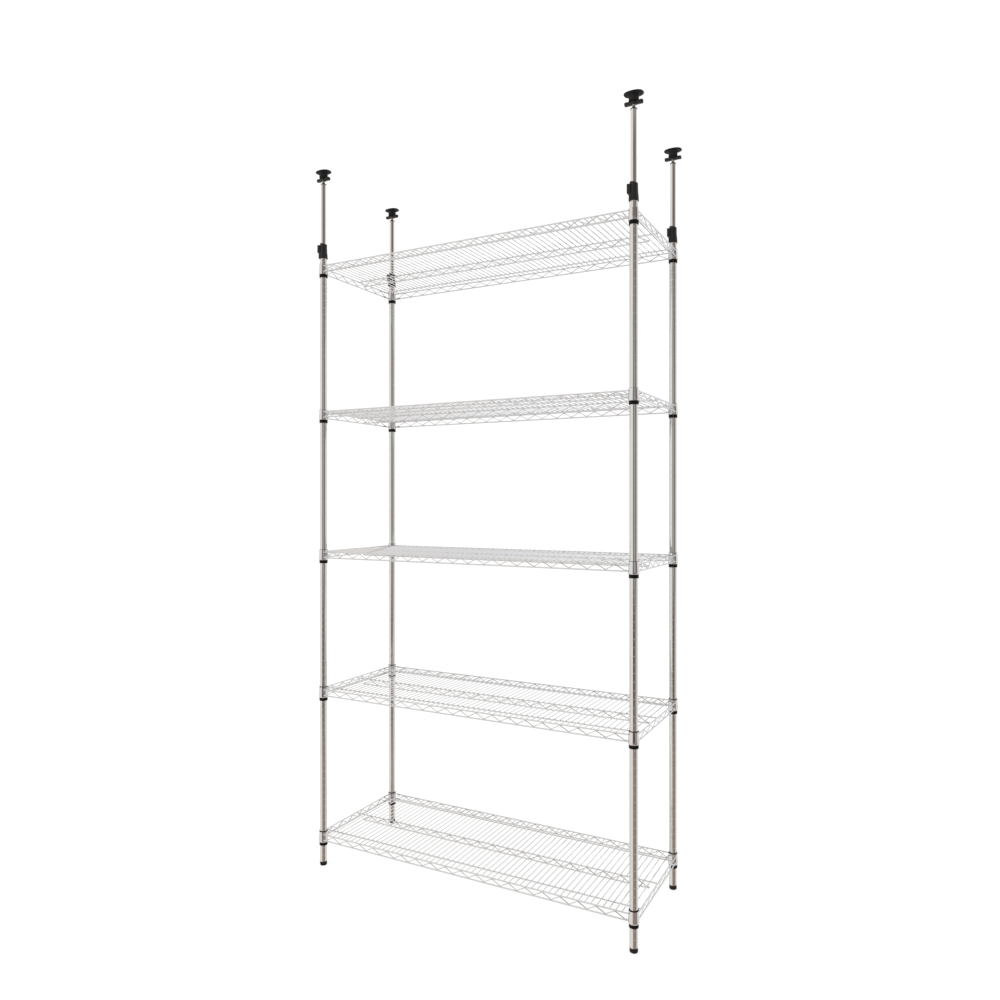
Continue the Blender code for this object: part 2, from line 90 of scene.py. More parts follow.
class Corner(Enum):
    """The four posts, seen from the front."""

    FRONT_LEFT = "fl"
    FRONT_RIGHT = "fr"
    BACK_LEFT = "bl"
    BACK_RIGHT = "br"

    @property
    def axis(self) -> Vector:
        """Foot of the post's axis on the floor."""
        low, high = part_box(f"post_{self.value}")
        return Vector(((low.x + high.x) / 2, (low.y + high.y) / 2, 0))


CORNERS = {corner.value: corner.axis for corner in Corner}


class Slot(Enum):
    """The record's material slots."""

    CHROME = "chrome_plate"
    ZINC = "zinc_plate"
    NYLON = "black_nylon"
    RUBBER = "black_rubber"


class Grain(Enum):
    """Direction of the fine marks that drawing leaves under the plating."""

    ALONG_TUBE = (1.0, 1.0, 0.02)
    EVEN = (1.0, 1.0, 1.0)


@dataclass(frozen=True)
class Dress:
    """A finished material and the slot that it belongs to."""

    material: bpy.types.Material
    slot: Slot


def linear(code: str) -> tuple[float, float, float, float]:
    """Turn an sRGB hex colour such as "#c0c0c0" into linear light, with an alpha of 1."""
    shares = [int(code[i:i + 2], 16) / 255 for i in (1, 3, 5)]
    return (*(s / 12.92 if s <= 0.04045 else ((s + 0.055) / 1.055) ** 2.4 for s in shares), 1.0)


def add_node(
    tree: Tree,
    kind: str,
    inputs: Optional[dict[Union[str, int], Input]] = None,
    stops: Stops = (),
    **settings: object,
) -> bpy.types.Node:
    """Add a node with its settings and links.

    Args:
        tree: Node tree that gets the node.
        kind: Type of the node.
        inputs: Values, or output sockets to link, by the input's name or number.
        stops: Places and sRGB colours along a colour ramp.
        settings: The node's own properties.

    Returns:
        The new node.
    """
    node = tree.nodes.new(kind)
    for name, value in settings.items():
        setattr(node, name, value)
    for key, value in (inputs or {}).items():
        if isinstance(value, Socket):
            tree.links.new(value, node.inputs[key])
        else:
            node.inputs[key].default_value = value
    for number, (place, code) in enumerate(stops):
        marks = node.color_ramp.elements
        mark = marks[number] if number < 2 else marks.new(place)
        mark.position = place
        mark.color = linear(code)
    return node


def blend(tree: Tree, share: Socket, first: Input, second: Input) -> Socket:
    """Mix two colours, with the share that the second one gets."""
    return add_node(tree, "ShaderNodeMix", {0: share, 6: first, 7: second}, data_type="RGBA").outputs[2]


def blank_tree(owner: Union[bpy.types.Material, bpy.types.World]) -> Tree:
    """Give a material or a world an empty node tree.

    Args:
        owner: The material or world.

    Returns:
        Its node tree.
    """
    owner.use_nodes = True
    owner.node_tree.nodes.clear()
    return owner.node_tree


def add_surface(tree: Tree, inputs: dict[str, Input]) -> None:
    """Add the shader of a material, with its values and links."""
    shader = add_node(tree, "ShaderNodeBsdfPrincipled", inputs)
    add_node(tree, "ShaderNodeOutputMaterial", {"Surface": shader.outputs[0]})


@dataclass(frozen=True)
class Finish:
    """A surface whose colour and gloss drift together in soft patches, under a fine relief."""

    name: str
    slot: Slot
    colours: tuple[str, str]
    roughness: Point
    patch_mm: float
    patch_detail: float
    patch_between: Point
    relief_mm: float
    relief_depth_mm: float
    relief_strength: float
    cells: str = "F1"
    patch_fade: float = 0.6

    def relief(self, tree: Tree, place: Socket) -> Socket:
        """Height of the relief: cells, like those of crystals or of a grained mould."""
        inputs = {"Vector": place, "Scale": 1 / (self.relief_mm * MM)}
        return add_node(tree, "ShaderNodeTexVoronoi", inputs, feature=self.cells).outputs[0]

    def even_values(self) -> dict[str, float]:
        """Values of the shader that are the same all over: here those of bare metal."""
        return {"Metallic": 1.0}

    def build(self) -> Dress:
        """Make the material.

        Returns:
            The material with its slot.
        """
        material = bpy.data.materials.new(self.name)
        tree = blank_tree(material)
        place = add_node(tree, "ShaderNodeTexCoord").outputs["Object"]
        patch = add_node(tree, "ShaderNodeTexNoise", {
            "Vector": place, "Scale": 1 / (self.patch_mm * MM), "Detail": self.patch_detail,
            "Roughness": self.patch_fade}).outputs[0]
        gloss = add_node(tree, "ShaderNodeMapRange", {
            "Value": patch, "From Min": self.patch_between[0], "From Max": self.patch_between[1],
            "To Min": self.roughness[0], "To Max": self.roughness[1]})
        bump = add_node(tree, "ShaderNodeBump", {
            "Height": self.relief(tree, place), "Strength": self.relief_strength,
            "Distance": self.relief_depth_mm * MM})
        add_surface(tree, {
            "Base Color": blend(tree, patch, *map(linear, self.colours)), "Roughness": gloss.outputs[0],
            "Normal": bump.outputs[0], **self.even_values()})
        return Dress(material, self.slot)


@dataclass(frozen=True)
class ChromePlate(Finish):
    """Bright chromium over drawn steel, which mirrors the room with a slight haze."""

    slot: Slot = Slot.CHROME
    colours: tuple[str, str] = ("#dfdfdc", "#d5d5d2")
    roughness: Point = (0.05, 0.10)
    patch_mm: float = 35.0
    patch_detail: float = 3.0
    patch_between: Point = (0.35, 0.65)
    # Real drawing marks are some hundredths of a millimetre wide. They are drawn coarser so that they show.
    relief_mm: float = 0.9
    relief_depth_mm: float = 0.004
    relief_strength: float = 0.35
    grain: Grain = Grain.EVEN
    mark_detail: float = 2.0

    def relief(self, tree: Tree, place: Socket) -> Socket:
        """Height of the drawing marks.

        Args:
            tree: The material's node tree.
            place: Place on the piece.

        Returns:
            Socket with the height.
        """
        drawn = add_node(tree, "ShaderNodeMapping", {"Vector": place, "Scale": self.grain.value}).outputs[0]
        inputs = {"Vector": drawn, "Scale": 1 / (self.relief_mm * MM), "Detail": self.mark_detail}
        return add_node(tree, "ShaderNodeTexNoise", inputs).outputs[0]


@dataclass(frozen=True)
class ZincPlate(Finish):
    """Zinc over cut steel thread: a soft grey metal with a faint yellow cast and a crystalline relief."""

    name: str = "zinc_plated_cut_steel"
    slot: Slot = Slot.ZINC
    colours: tuple[str, str] = ("#c9c6bd", "#a3a098")
    roughness: Point = (0.24, 0.46)
    patch_mm: float = 6.0
    patch_detail: float = 4.0
    patch_fade: float = 0.65
    patch_between: Point = (0.0, 1.0)
    relief_mm: float = 0.5
    relief_depth_mm: float = 0.02
    relief_strength: float = 0.3


@dataclass(frozen=True)
class BlackMoulding(Finish):
    """Black plastic or rubber out of a grained mould: dark, with a soft sheen that the grain breaks up."""

    patch_mm: float = 18.0
    patch_detail: float = 5.0
    patch_between: Point = (0.3, 0.7)
    # Real mould grain is near 0.1 mm. It is drawn coarser so that it shows.
    relief_mm: float = 0.7
    relief_depth_mm: float = 0.03
    relief_strength: float = 0.5
    cells: str = "SMOOTH_F1"
    ior: float = 1.53
    specular: float = 0.3

    def even_values(self) -> dict[str, float]:
        """Values of the shader that are the same all over: those of a dull plastic."""
        return {"IOR": self.ior, "Specular IOR Level": self.specular}


def metres(drawing: Sequence[Point]) -> list[Point]:
    """Turn a drawing in millimetres into metres."""
    return [(across * MM, height * MM) for across, height in drawing]


def polar(radius: float, angle: float) -> Point:
    """Point in plan at a distance from the axis, in a direction."""
    return radius * math.cos(angle), radius * math.sin(angle)


def all_round(count: int) -> list[float]:
    """Angles in equal steps round an axis."""
    return [TURN * i / count for i in range(count)]


def arc(centre: Point, radius: float, start: float, sweep: float, steps: int) -> list[Point]:
    """Points of an arc in plan, with both ends, from a first angle through the sweep."""
    spots = (polar(radius, start + sweep * i / steps) for i in range(steps + 1))
    return [(centre[0] + x, centre[1] + y) for x, y in spots]


def rounded(corners: Sequence[Vector], radius: float, steps: int = 4) -> list[Vector]:
    """Round the inner corners of a path.

    Args:
        corners: The path with sharp corners.
        radius: Bend radius.
        steps: Pieces of each bend.

    Returns:
        The path with bends.
    """
    path = [corners[0]]
    for before, corner, after in zip(corners, corners[1:], corners[2:]):
        back, ahead = (before - corner).normalized(), (after - corner).normalized()
        half = back.angle(ahead) / 2
        centre = corner + (back + ahead).normalized() * radius / math.sin(half)
        start = corner + back * radius / math.tan(half) - centre
        end = corner + ahead * radius / math.tan(half) - centre
        hinge = start.cross(end).normalized()
        bend = start.angle(end)
        path.extend(centre + Matrix.Rotation(bend * i / steps, 3, hinge) @ start for i in range(steps + 1))
    return path + [corners[-1]]


class Shape:
    """A mesh in the making, built from skinned rings of points."""

    def __init__(self) -> None:
        """Start with no points."""
        self.points: list[Vector] = []
        self.faces: list[tuple[int, ...]] = []

    def skin(self, rings: Sequence[Sequence[Vector]], joined: bool = False) -> None:
        """Skin a row of rings that all have the same number of points.

        Args:
            rings: Closed rings, in order.
            joined: True joins the last ring to the first; False caps both ends.
        """
        start, count, total = len(self.points), len(rings[0]), len(rings)
        for ring in rings:
            self.points.extend(ring)
        for row in range(total if joined else total - 1):
            here, there = start + row * count, start + (row + 1) % total * count
            for i in range(count):
                j = (i + 1) % count
                self.faces.append((here + i, here + j, there + j, there + i))
        if not joined:
            self.faces.append(tuple(range(start + count - 1, start - 1, -1)))
            self.faces.append(tuple(range(start + (total - 1) * count, start + total * count)))

    def turn(self, profile: Sequence[Point], segments: int, centre: Vector = Vector(),
             joined: bool = False) -> None:
        """Turn a profile of radii and heights about an axis; a joined one closes on itself."""
        self.skin([[centre + Vector((*polar(radius, angle), height)) for angle in all_round(segments)]
                   for radius, height in profile], joined)

    def sector(self, profile: Sequence[Point], start: float, sweep: float, steps: int) -> None:
        """Turn a closed profile of radii and heights from a first angle through the sweep."""
        angles = [start + sweep * i / steps for i in range(steps + 1)]
        self.skin([[Vector((*polar(radius, angle), height)) for radius, height in profile]
                   for angle in angles])

    def wire(self, path: Sequence[Vector], radius: float, side: Vector, sides: int = 8) -> None:
        """Lay a round wire with rounded ends along a path that lies in a plane.

        Args:
            path: Points of the wire's centre line.
            radius: Half the wire's thickness.
            side: Unit normal of the path's plane.
            sides: Points round the wire.
        """
        last = len(path) - 1
        ways = [(path[min(i + 1, last)] - path[max(i - 1, 0)]).normalized() for i in range(last + 1)]
        stations = [(path[0] + ways[0] * radius * back, ways[0], radius * share)
                    for back, share in WIRE_NOSE]
        stations += [(path[i], ways[i], radius) for i in range(1, last)]
        stations += [(path[last] - ways[last] * radius * back, ways[last], radius * share)
                     for back, share in reversed(WIRE_NOSE)]
        rings = []
        for centre, way, reach in stations:
            lift = way.cross(side)
            spots = (polar(reach, angle) for angle in all_round(sides))
            rings.append([centre + side * x + lift * y for x, y in spots])
        self.skin(rings)

    def bead(self, centre: Vector, reach: Sequence[float], sides: int = 8) -> None:
        """Lay a weld bead.

        Args:
            centre: Middle of the bead.
            reach: Half sizes along X, Y and Z.
            sides: Points round the bead.
        """
        rings = []
        for flat, rise in (polar(1, math.radians(tilt)) for tilt in BEAD_TILTS):
            spots = (polar(flat, angle) for angle in all_round(sides))
            rings.append([centre + Vector((reach[0] * x, reach[1] * y, reach[2] * rise)) for x, y in spots])
        self.skin(rings)

    def slab(self, outline: Sequence[Point], low: float, high: float, edge: float) -> None:
        """Raise a flat outline into a slab with rounded edges.

        Args:
            outline: Points in plan, anticlockwise.
            low: Height of the underside.
            high: Height of the top.
            edge: Radius of the edges.
        """
        flat = [Vector((x, y, 0)) for x, y in outline]
        outward = []
        for before, point, after in zip(flat[-1:] + flat, flat, flat[1:] + flat[:1]):
            way = (point - before).normalized() + (after - point).normalized()
            outward.append(Vector((way.y, -way.x, 0)).normalized())
        quarter = (polar(1, math.radians(tilt)) for tilt in EDGE_TILTS)
        steps = [(edge * (1 - x), edge * (1 - y)) for x, y in quarter]
        rows = [(low + rise, inset) for rise, inset in steps]
        rows += [(high - rise, inset) for rise, inset in reversed(steps)]
        self.skin([[point - away * inset + UP * height for point, away in zip(flat, outward)]
                   for height, inset in rows])

    def thread(self, radius: float, pitch: float, depth: float, low: float, high: float,
               segments: int = 20) -> None:
        """Cut a right-hand screw thread.

        Args:
            radius: Radius over the crests.
            pitch: Rise of one turn.
            depth: Depth of the thread.
            low: Height of the lower end.
            high: Height of the upper end.
            segments: Points round the screw.
        """
        count = round((high - low) / (pitch / THREAD_ROWS))
        rings = []
        for row in range(count + 1):
            height = low + (high - low) * row / count
            tip = min(1.0, min(height - low, high - height) / pitch)
            ring = []
            for angle in all_round(segments):
                wave = abs(2 * ((height / pitch - angle / TURN) % 1) - 1)
                crest = min(1.0, max(0.0, (wave - FLANK_START) / FLANK_WIDTH)) * tip
                ring.append(Vector((*polar(radius - depth * (1 - crest), angle), height)))
            rings.append(ring)
        self.skin(rings)

    def mesh(self, name: str, dress: Dress, crease: float = CREASE) -> bpy.types.Mesh:
        """Turn the shape into a mesh.

        Args:
            name: Name of the mesh.
            dress: Finish of the mesh.
            crease: Edges above this angle, in degrees, stay crisp.

        Returns:
            The mesh.
        """
        mesh = bpy.data.meshes.new(name)
        mesh.from_pydata(self.points, [], self.faces)
        work = bmesh.new()
        work.from_mesh(mesh)
        bmesh.ops.recalc_face_normals(work, faces=work.faces)
        work.to_mesh(mesh)
        work.free()
        mesh.shade_smooth()
        mesh.set_sharp_from_angle(angle=math.radians(crease))
        mesh.materials.append(dress.material)
        return mesh


def put(kind: str, tag: str, mesh: bpy.types.Mesh, dress: Dress, body: str, at: Vector, solid: str = "",
        turned: float = 0.0) -> None:
    """Place a piece on its body.

    Args:
        kind: What the piece is.
        tag: Its corner, shelf or both, which end its name.
        mesh: Its mesh, which pieces of one kind share.
        dress: Its finish.
        body: The body that it moves with.
        at: Its place.
        solid: Kind of the solid that it is shown for, if any, with the same tag.
        turned: Its turn about the upright axis.
    """
    piece = bpy.data.objects.new(f"{kind}_{tag}", mesh)
    bpy.context.scene.collection.objects.link(piece)
    piece.location = at
    piece.rotation_euler.z = turned
    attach(piece, body)
    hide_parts(*([f"{solid}_{tag}"] if solid else []))
    LOG.info("%s, %s, on %s", piece.name, dress.material.name, body)


@dataclass
class GroovedPost:
    """A chrome tube with a fine ring groove at every shelf position."""

    dress: Dress
    radius: float = 12.5 * MM
    bore: float = 11.3 * MM
    lip: float = 0.4 * MM
    pitch: float = 25.0 * MM
    groove_depth: float = 0.35 * MM
    groove_half: float = 0.8 * MM
    groove_height: float = 15.0 * MM
    # Across a groove: heights in half widths, and shares of the depth.
    groove: Drawing = ((-1.5, 0), (-1, 0), (-0.45, 0.75), (0, 1), (0.45, 0.75), (1, 0), (1.5, 0))

    def profile(self, low: float, high: float) -> list[Point]:
        """Draw the wall of the tube.

        Args:
            low: Height of the lower end.
            high: Height of the upper end.

        Returns:
            Radii and heights, up the outside and down the bore.
        """
        wall = [(self.bore, low), (self.radius - self.lip, low), (self.radius, low + self.lip)]
        level = self.groove_height + self.pitch
        while level < high - self.lip - 2 * self.groove_half:
            wall += [(self.radius - self.groove_depth * share, level + step * self.groove_half)
                     for step, share in self.groove]
            level += self.pitch
        return wall + [(self.radius, high - self.lip), (self.radius - self.lip, high), (self.bore, high)]

    def build(self) -> None:
        """Make the four posts."""
        low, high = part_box("post_fl")
        shape = Shape()
        shape.turn(self.profile(low.z, high.z), segments=40, joined=True)
        mesh = shape.mesh("post_tube", self.dress)
        for tag, axis in CORNERS.items():
            put("post_tube", tag, mesh, self.dress, "frame", axis, "post")


def shelf_level(number: int) -> float:
    """Height of the middle of the sleeve's band under a shelf's corner."""
    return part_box(f"sleeve_fl_{number}")[0].z + SplitSleeve.band / 2


@dataclass
class SplitSleeve:
    """Two tapered nylon half shells round the post, which a shelf corner wedges onto."""

    dress: Dress
    band: float = 10.5 * MM
    band_radius: float = 14.6 * MM
    seam: float = 0.6 * MM
    # Upper edges from the lowest shelf up: the lower shelves are wedged further down on their sleeves.
    tops: tuple[float, ...] = (46.3 * MM, 45.7 * MM, 44.4 * MM, 44.2 * MM, 44.1 * MM)
    # Radii and heights in millimetres: the band about its middle, and the wall's end about its upper edge.
    band_wall: Drawing = (
        (12.65, -4.75), (13.15, -5.25), (13.6, -5.25), (14.35, -5.1), (14.6, -4.65), (14.6, 4.65),
        (14.45, 5.0),
    )
    top_wall: Drawing = ((14.47, -0.5), (14.32, -0.15), (13.97, 0), (12.8, 0), (12.65, -0.15))

    def build(self) -> None:
        """Make both halves of all twenty sleeves."""
        gap = self.seam / self.band_radius
        for number, top in zip(SHELVES, self.tops):
            end = [(radius, top + drop) for radius, drop in metres(self.top_wall)]
            shape = Shape()
            shape.sector(metres(self.band_wall) + end, gap / 2, math.pi - gap, steps=18)
            mesh = shape.mesh(f"sleeve_half_{number}", self.dress)
            for corner, axis in CORNERS.items():
                tag, at = f"{corner}_{number}", axis + UP * shelf_level(number)
                inward = math.atan2(axis.y, axis.x) + RIGHT_ANGLE
                put("sleeve_outer_half", tag, mesh, self.dress, "frame", at, "sleeve", inward + math.pi)
                put("sleeve_inner_half", tag, mesh, self.dress, "frame", at, turned=inward)


@dataclass
class WireShelf:
    """A welded shelf: four collars, a rim truss all round, a mat of cross wires and long wires under it."""

    dress: Dress
    rim_out: float = 11.5 * MM
    rim_radius: float = 2.25 * MM
    rim_top: float = 35.55 * MM
    rim_low: float = 14.85 * MM
    rim_stop: float = 9.5 * MM
    mat_radius: float = 1.5 * MM
    mat_height: float = 35.1 * MM
    mat_count: int = 59
    mat_edge: float = 13.5 * MM
    mat_stop: float = 8.9 * MM
    inner_radius: float = 2.2 * MM
    inner_height: float = 31.7 * MM
    inner_inset: float = 38.0 * MM
    centre_low: float = 11.3 * MM
    centre_end: float = 6.0 * MM
    zigzag_radius: float = 1.5 * MM
    zigzag_bend: float = 5.0 * MM
    zigzag_tail: float = 9.0 * MM
    zigzag_trials: int = 4
    inset_x: float = 24.4 * MM
    inset_y: float = 33.6 * MM
    periods_x: int = 19
    periods_y: int = 6
    weld_sink: float = 0.4 * MM
    # Half sizes of the welds, as shares of the wire's radius: along the wire, across it and upright.
    rim_weld: Row = (1.8, 1.1, 0.9)
    mat_weld: Row = (1.4, 1.4, 0.6)
    # The collar's barrel: radii and heights above the middle of the sleeve's band, in millimetres.
    collar: Drawing = (
        (14.85, 6.3), (15.2, 6.1), (15.7, 6.3), (16.1, 7.0), (16.4, 8.5), (16.5, 10.8), (16.45, 14.0),
        (16.2, 19.5), (15.85, 26.0), (15.45, 32.5), (15.15, 38.0), (15.05, 42.6), (14.98, 43.3),
        (14.84, 43.6), (14.7, 43.4), (14.62, 42.8),
    )
    shape: Shape = field(default_factory=Shape)

    def __post_init__(self) -> None:
        """Take the corner from the posts, and the edges and the long wires from the corner."""
        self.post: Vector = Corner.BACK_RIGHT.axis
        self.edge_x: float = self.post.x + self.rim_out
        self.edge_y: float = self.post.y + self.rim_out
        inner_y = self.post.y - self.inner_inset
        self.long_wires: tuple[float, ...] = (-inner_y, 0, inner_y)

    def add_collars(self) -> None:
        """Add the four barrel-shaped collars."""
        for axis in CORNERS.values():
            self.shape.turn(metres(self.collar), segments=40, centre=axis, joined=True)

    def add_bar(self, middle: Vector, half: Vector, radius: float, sides: int = 8) -> None:
        """Add a straight level wire by its middle and by the way from there to its end."""
        self.shape.wire([middle - half, middle + half], radius, UP, sides)

    def add_rims(self) -> None:
        """Add the upper and lower rim wires with their welds at the collars."""
        reach = self.rim_radius
        length, width, rise = (share * reach for share in self.rim_weld)
        for way, out, end, edge in (
            (ALONG_X, ALONG_Y, self.post.x - self.rim_stop, self.edge_y),
            (ALONG_Y, ALONG_X, self.post.y - self.rim_stop, self.edge_x),
        ):
            for side, height in product(SIDES, (self.rim_top, self.rim_low)):
                middle = out * side * edge + UP * height
                self.add_bar(middle, way * end, reach, sides=12)
                for other in SIDES:
                    self.shape.bead(middle + way * other * (end - reach) - out * side * reach / 2,
                                    way * length + out * width + UP * rise)

    def add_mat(self) -> None:
        """Add the cross wires of the mat and their welds on the wires below."""
        last = self.post.x - self.mat_edge
        weld = [share * self.mat_radius for share in self.mat_weld]
        for i in range(self.mat_count):
            x = -last + 2 * last * i / (self.mat_count - 1)
            reach = self.edge_y if 0 < i < self.mat_count - 1 else self.post.y - self.mat_stop
            self.add_bar(Vector((x, 0, self.mat_height)), ALONG_Y * reach, self.mat_radius)
            for y in self.long_wires:
                self.shape.bead(Vector((x, y, self.inner_height + self.inner_radius)), weld, sides=6)

    def add_long_wires(self) -> None:
        """Add the three long wires under the mat, and the centre truss's lower wire."""
        end = ALONG_X * (self.edge_x + self.inner_radius / 2)
        for y in self.long_wires:
            self.add_bar(Vector((0, y, self.inner_height)), end, self.inner_radius, sides=10)
        low_end = ALONG_X * (self.post.x - self.inset_x + self.centre_end)
        self.add_bar(UP * self.centre_low, low_end, self.inner_radius, sides=10)

    def zigzag(self, half_span: float, periods: int, low: float, high: float) -> list[Point]:
        """Bend a zigzag wire whose bends just reach two heights.

        Args:
            half_span: Half the length between the outer bends.
            periods: Number of full waves.
            low: Height of the lower bends.
            high: Height of the upper bends.

        Returns:
            Distances along the truss and heights.
        """
        step = half_span / periods
        spare = 0.0
        for _ in range(self.zigzag_trials):
            lean = math.atan2(step, high - low + 2 * spare)
            spare = self.zigzag_bend * (1 / math.sin(lean) - 1)
        corners = [Vector((-half_span - self.zigzag_tail, 0, low))]
        for i in range(2 * periods + 1):
            outer = i in (0, 2 * periods)
            height = high + spare if i % 2 else low - (0 if outer else spare)
            corners.append(Vector((-half_span + i * step, 0, height)))
        corners.append(Vector((half_span + self.zigzag_tail, 0, low)))
        return [(point.x, point.z) for point in rounded(corners, self.zigzag_bend)]

    def add_trusses(self) -> None:
        """Add the zigzags of the rim and of the centre truss."""
        thick = self.zigzag_radius
        grip = thick - self.weld_sink
        low = self.rim_low + self.rim_radius + grip
        high = self.rim_top - self.rim_radius - grip
        span_x, span_y = self.post.x - self.inset_x, self.post.y - self.inset_y
        rim_x = self.zigzag(span_x, self.periods_x, low, high)
        rim_y = self.zigzag(span_y, self.periods_y, low, high)
        centre = self.zigzag(span_x, self.periods_x, self.centre_low + self.inner_radius + grip,
                             self.inner_height - self.inner_radius - grip)
        for side in SIDES:
            self.shape.wire([Vector((x, side * self.edge_y, z)) for x, z in rim_x], thick, ALONG_Y)
            self.shape.wire([Vector((side * self.edge_x, y, z)) for y, z in rim_y], thick, ALONG_X)
        self.shape.wire([Vector((x, 0, z)) for x, z in centre], thick, ALONG_Y)

    def build(self) -> None:
        """Make the shelf and place it at its five heights."""
        self.add_collars()
        self.add_rims()
        self.add_mat()
        self.add_long_wires()
        self.add_trusses()
        mesh = self.shape.mesh("wire_shelf", self.dress)
        for number in SHELVES:
            put("wire_shelf", str(number), mesh, self.dress, "frame", UP * shelf_level(number), "shelf")


@dataclass
class LevellingFoot:
    """A rubber-capped foot with a rounded tread, on a threaded stem that screws into the post."""

    rubber: Dress
    zinc: Dress
    stem_radius: float = 4.0 * MM
    stem_low: float = 12.3 * MM
    stem_top: float = 46.3 * MM
    pitch: float = 1.25 * MM
    depth: float = 0.6 * MM
    # Radii and heights in millimetres, from under the tread up to the stem.
    cap: Drawing = (
        (3.75, 0.5), (5.0, 0), (9.25, 0), (10.75, 0.4), (11.75, 1.1), (12.3125, 2.2), (12.5, 3.8),
        (12.5, 13.3), (12.2, 14.0), (11.5, 14.3), (4.0, 14.3),
    )

    def build(self) -> None:
        """Make the four feet: cap and stem."""
        cap = Shape()
        cap.turn(metres(self.cap), segments=36)
        cap_mesh = cap.mesh("foot_cap", self.rubber)
        stem = Shape()
        stem.thread(self.stem_radius, self.pitch, self.depth, self.stem_low, self.stem_top)
        stem_mesh = stem.mesh("foot_stem", self.zinc, THREAD_CREASE)
        for tag, axis in CORNERS.items():
            put("foot_cap", tag, cap_mesh, self.rubber, f"foot_{tag}", axis, "levelling_foot")
            put("foot_stem", tag, stem_mesh, self.zinc, f"foot_{tag}", axis)


@dataclass
class ClampCap:
    """The nylon cap on a post's top that grips the brace tube, with ears and a sill for its lever."""

    dress: Dress
    # Radii and heights from the post's top in millimetres, and the share of the top's slant: up the
    # outside, over the top and down the bore.
    wall: tuple[Row, ...] = (
        (12.8, -8.6, 0), (14.4, -8.6, 0), (15.0, -8.0, 0), (14.9, -6.0, 0), (14.6, -1.0, 0), (14.2, 5.0, 0),
        (13.8, 10.0, 0), (13.2, 12.7, 0), (13.0, 17.0, 0), (12.75, 23.0, 0.1), (12.4, 34.6, 0.5),
        (12.4, 45.0, 1), (12.1, 45.9, 1), (11.5, 46.5, 1), (10.6, 46.6, 1), (10.0, 46.2, 1), (9.8, 45.4, 1),
        (9.8, 0.3, 0), (12.8, 0.3, 0),
    )
    slant: float = 2.9 * MM
    segments: int = 40
    pin_x: float = -14.5 * MM
    pin_y: float = 6.5 * MM
    ear_radius: float = 3.0 * MM
    ear_root: float = 11.3 * MM
    ear_height: float = 5.0 * MM
    ear_lows: Point = (13.0 * MM, 36.0 * MM)
    ear_edge: float = 0.5 * MM
    sill_root: float = 12.95 * MM
    sill_end: float = 15.0 * MM
    sill_corner: Point = (-9.9 * MM, -16.9 * MM)
    sill_rounding: float = 3.0 * MM
    sill_from: float = math.radians(292)
    sill_to: float = math.radians(198)
    sill_low: float = -8.4 * MM
    sill_top: float = 12.6 * MM
    sill_edge: float = 0.6 * MM

    def rings(self) -> list[list[Vector]]:
        """Rings of the cap in the order of its wall, with a top that slants up towards the lever."""
        return [[Vector((*polar(radius * MM, angle), height * MM - self.slant * share * math.cos(angle)))
                 for angle in all_round(self.segments)] for radius, height, share in self.wall]

    def ear_outline(self) -> list[Point]:
        """Draw one of the two ears in plan: a round end about the pin, running into the cap's wall.

        Returns:
            Points in plan, anticlockwise.
        """
        ear = arc((self.pin_x, self.pin_y), self.ear_radius, RIGHT_ANGLE, math.pi, steps=10)
        for side in SIDES:
            ear.append(polar(self.ear_root, math.atan2(self.pin_y + side * self.ear_radius, self.pin_x)))
        return ear

    def sill_outline(self) -> list[Point]:
        """Draw the sill under the lever in plan: the cap's wall, drawn out to a round corner.

        Returns:
            Points in plan, anticlockwise.
        """
        root = arc(ORIGIN, self.sill_root, self.sill_from, self.sill_to - self.sill_from, steps=12)
        first, last = (polar(self.sill_end, angle) for angle in (self.sill_to, self.sill_from))
        corners = [Vector((*spot, 0)) for spot in (first, self.sill_corner, last)]
        return [(point.x, point.y) for point in rounded(corners, self.sill_rounding)] + root

    def build(self) -> None:
        """Make the four caps."""
        shape = Shape()
        shape.skin(self.rings(), joined=True)
        shape.slab(self.sill_outline(), self.sill_low, self.sill_top, self.sill_edge)
        for low in self.ear_lows:
            shape.slab(self.ear_outline(), low, low + self.ear_height, self.ear_edge)
        mesh = shape.mesh("clamp_cap", self.dress)
        for tag, axis in CORNERS.items():
            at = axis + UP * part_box(f"post_{tag}")[1].z
            put("clamp_cap", tag, mesh, self.dress, "frame", at, "clamp_body")


